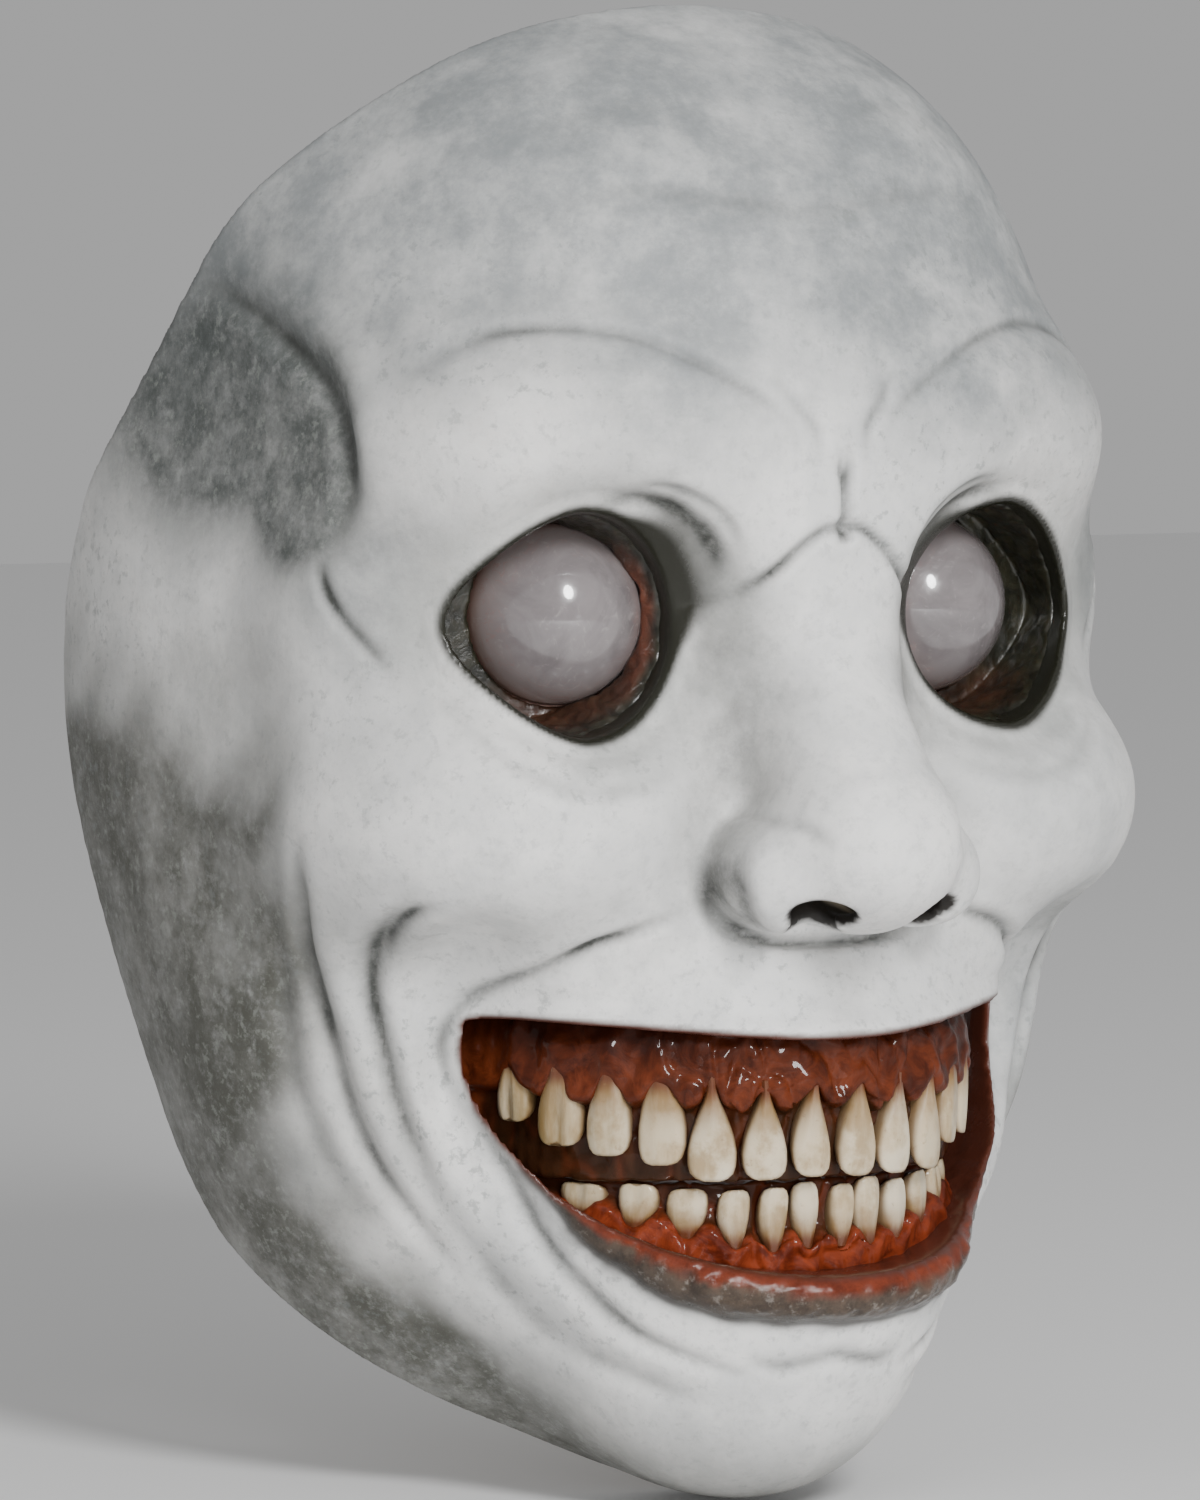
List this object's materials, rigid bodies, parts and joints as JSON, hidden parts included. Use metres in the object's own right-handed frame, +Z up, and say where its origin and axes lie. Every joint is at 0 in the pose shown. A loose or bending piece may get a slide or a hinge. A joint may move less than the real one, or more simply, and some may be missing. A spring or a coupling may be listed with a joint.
{
  "type": "costume face mask",
  "caption": "Moulded latex ghoul face mask with cloudy eyes, wide toothy grin, foam pads and an adjustable elastic strap on snaps.",
  "frame": {"origin": "middle of the line through the two strap snaps, at the wearer's temples and level with the eyes", "axes": "+Z up as worn, the face looks along -Y, +X is the wearer's left"},
  "size_m": [0.1702, 0.1692, 0.2547],
  "materials": {
    "latex": "matt",
    "socket_latex": "satin",
    "eye_plastic": "gloss",
    "gum": "wet gloss",
    "tooth": "gloss",
    "foam": "open-cell foam",
    "patch_fabric": "latex-soaked cloth",
    "elastic": "woven elastic",
    "snap_metal": "nickel",
    "strap_hardware": "satin"
  },
  "bodies": {
    "mask": {"mask_skin": "latex", "left_eye_lens": "eye_plastic", "right_eye_lens": "eye_plastic", "left_eye_socket": "socket_latex", "right_eye_socket": "socket_latex", "upper_gum": "gum", "lower_gum": "gum", "upper_tooth_01": "tooth", "upper_tooth_02": "tooth", "upper_tooth_03": "tooth", "upper_tooth_04": "tooth", "upper_tooth_05": "tooth", "upper_tooth_06": "tooth", "upper_tooth_07": "tooth", "upper_tooth_08": "tooth", "upper_tooth_09": "tooth", "upper_tooth_10": "tooth", "upper_tooth_11": "tooth", "upper_tooth_12": "tooth", "upper_tooth_13": "tooth", "upper_tooth_14": "tooth", "lower_tooth_01": "tooth", "lower_tooth_02": "tooth", "lower_tooth_03": "tooth", "lower_tooth_04": "tooth", "lower_tooth_05": "tooth", "lower_tooth_06": "tooth", "lower_tooth_07": "tooth", "lower_tooth_08": "tooth", "lower_tooth_09": "tooth", "lower_tooth_10": "tooth", "lower_tooth_11": "tooth", "lower_tooth_12": "tooth", "forehead_pad": "foam", "left_cheek_pad": "foam", "right_cheek_pad": "foam", "left_anchor_patch": "patch_fabric", "right_anchor_patch": "patch_fabric", "left_snap_stud": "snap_metal", "right_snap_stud": "snap_metal"},
    "strap": {"long_strap": "elastic", "short_strap": "elastic", "strap_ring": "strap_hardware", "left_snap_socket": "snap_metal", "right_snap_socket": "snap_metal", "left_snap_cap": "snap_metal", "right_snap_cap": "snap_metal"},
    "slider": {"strap_slider": "strap_hardware"}
  },
  "joints": [
    {"name": "strap_swing", "type": "hinge", "parent": "mask", "child": "strap", "pos_m": [0, 0, 0], "axis": [1, 0, 0], "range_deg": [-80, 80]},
    {"name": "slider_slide", "type": "slide", "parent": "strap", "child": "slider", "axis": [1, 0, 0], "range_m": [-0.03, 0.03]}
  ]
}
